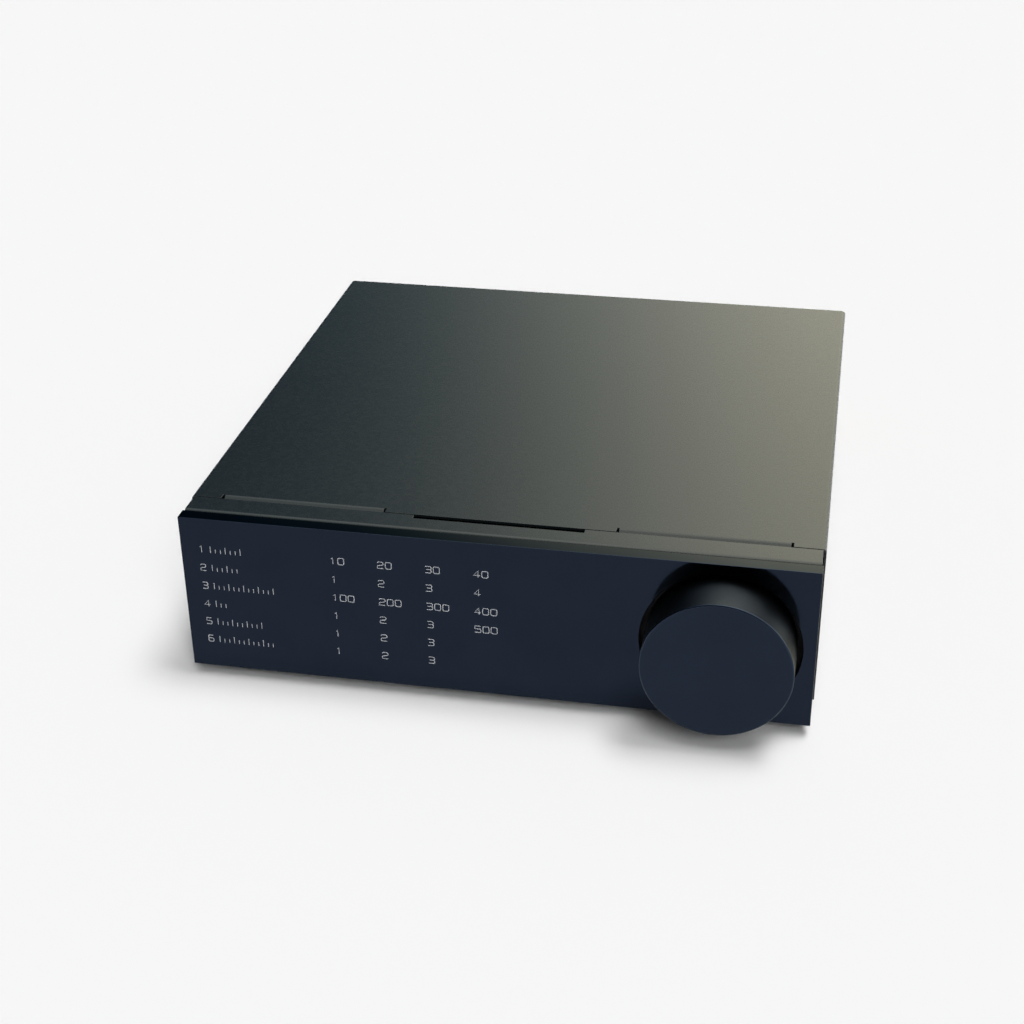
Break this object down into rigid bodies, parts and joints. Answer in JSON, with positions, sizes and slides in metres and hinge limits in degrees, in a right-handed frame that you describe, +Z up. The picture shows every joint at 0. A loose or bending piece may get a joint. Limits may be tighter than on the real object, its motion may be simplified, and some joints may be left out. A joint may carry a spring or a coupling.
{
  "type": "phono preamplifier",
  "caption": "Low desktop phono preamplifier: folded black case, thick blue-black front plate with a large round push-and-turn knob, lit values, full rear panel.",
  "frame": {"origin": "centre of the whole object's footprint, on the surface it stands on", "axes": "+X right seen from the front, +Y to the rear, +Z up; the front plate and knob face -Y"},
  "size_m": [0.2212, 0.2554, 0.0653],
  "materials": {
    "plate_anodised": "fine satin anodised, near black blue",
    "knob_anodised": "fine satin anodised, near black blue",
    "case_paint": "satin black powder coat",
    "panel_paint": "satin black powder coat",
    "foot_rubber": "matt",
    "zinc_steel": "bright zinc plated",
    "black_steel": "black oxide screws",
    "black_plastic": "fine moulded grain",
    "pale_plastic": "moulded",
    "white_plastic": "moulded",
    "red_plastic": "moulded",
    "gilt": "gold plated",
    "brass_plain": "plain turned brass",
    "tin": "tinned contacts",
    "board_green": "solder mask",
    "cable_grey": "flat cable",
    "wire_brown": "insulation",
    "film_red": "moulded box capacitor",
    "can_blue": "capacitor sleeve",
    "led_white": "clear white lens",
    "sink_black": "black anodised",
    "winding_tape": "wound tape",
    "fuse_glass": "clear"
  },
  "bodies": {
    "case": {"front_plate": "plate_anodised", "base_tray": "case_paint", "top_cover": "case_paint", "rear_panel": "panel_paint", "front_plate_screws": "zinc_steel", "cover_screws": "black_steel", "rear_panel_screws": "black_steel", "feet": "foot_rubber", "foot_screws": "zinc_steel", "encoder_body": "zinc_steel", "encoder_washer": "zinc_steel", "encoder_nut": "zinc_steel", "control_board": "board_green", "control_board_studs": "brass_plain", "control_board_screws": "zinc_steel", "light_mask": "black_plastic", "indicator_leds": "led_white", "ribbon_cable": "cable_grey", "main_board": "board_green", "board_standoffs": "brass_plain", "board_screws": "zinc_steel", "relays": "pale_plastic", "film_capacitors": "film_red", "electrolytic_capacitors": "can_blue", "op_amps": "black_plastic", "input_shield_can": "zinc_steel", "supply_board": "board_green", "heatsink": "sink_black", "regulators": "black_plastic", "mains_transformer": "winding_tape", "transformer_pads": "foot_rubber", "transformer_plate": "zinc_steel", "transformer_bolt": "zinc_steel", "mains_inlet": "black_plastic", "inlet_blades": "tin", "power_switch_frame": "black_plastic", "mains_leads": "wire_brown", "rca_shells": "gilt", "rca_inserts": "white_plastic", "rca_contacts": "gilt", "rca_collars_white": "white_plastic", "rca_collars_red": "red_plastic", "rca_nuts": "gilt", "xlr_housings": "black_steel", "xlr_inserts": "black_plastic", "xlr_pins": "tin", "xlr_screws": "black_steel", "ground_post": "gilt"},
    "knob_push_slider": {"encoder_plunger": "pale_plastic"},
    "knob_dial": {"knob": "knob_anodised", "knob_set_screw": "black_steel", "encoder_shaft": "zinc_steel"},
    "power_rocker": {"power_rocker": "black_plastic"},
    "fuse_drawer": {"fuse_drawer": "black_plastic", "fuse": "fuse_glass"},
    "xlr_latch_left": {"xlr_latch_left": "zinc_steel"},
    "xlr_latch_right": {"xlr_latch_right": "zinc_steel"},
    "ground_washer": {"ground_washer": "tin"},
    "ground_nut": {"ground_thumb_nut": "gilt"}
  },
  "joints": [
    {"name": "knob_push", "type": "slide", "parent": "case", "child": "knob_push_slider", "axis": [0, 1, 0], "range_m": [0, 0.0005], "stiffness_N_per_m": 4000, "springref_m": -0.0005},
    {"name": "knob_turn", "type": "hinge", "parent": "knob_push_slider", "child": "knob_dial", "pos_m": [0.0782, -0.11175, 0.0341], "axis": [0, 1, 0], "continuous": true},
    {"name": "rocker_tilt", "type": "hinge", "parent": "case", "child": "power_rocker", "pos_m": [-0.06, 0.11025, 0.0335], "axis": [1, 0, 0], "range_deg": [0, 20]},
    {"name": "fuse_drawer_slide", "type": "slide", "parent": "case", "child": "fuse_drawer", "axis": [0, 1, 0], "range_m": [0, 0.02]},
    {"name": "left_latch_press", "type": "slide", "parent": "case", "child": "xlr_latch_left", "axis": [0, 0, -1], "range_m": [0, 0.0012], "stiffness_N_per_m": 300, "springref_m": -0.002},
    {"name": "right_latch_press", "type": "slide", "parent": "case", "child": "xlr_latch_right", "axis": [0, 0, -1], "range_m": [0, 0.0012], "stiffness_N_per_m": 300, "springref_m": -0.002},
    {"name": "ground_washer_slide", "type": "slide", "parent": "case", "child": "ground_washer", "axis": [0, 1, 0], "range_m": [0, 0.00141]},
    {"name": "ground_nut_turn", "type": "hinge", "parent": "ground_washer", "child": "ground_nut", "pos_m": [0.1015, 0.118, 0.0335], "axis": [0, 1, 0], "range_deg": [0, 720]}
  ],
  "couplings": [
    {"joint": "ground_washer_slide", "follows": "ground_nut_turn", "m_per_rad": 0.00011141}
  ]
}
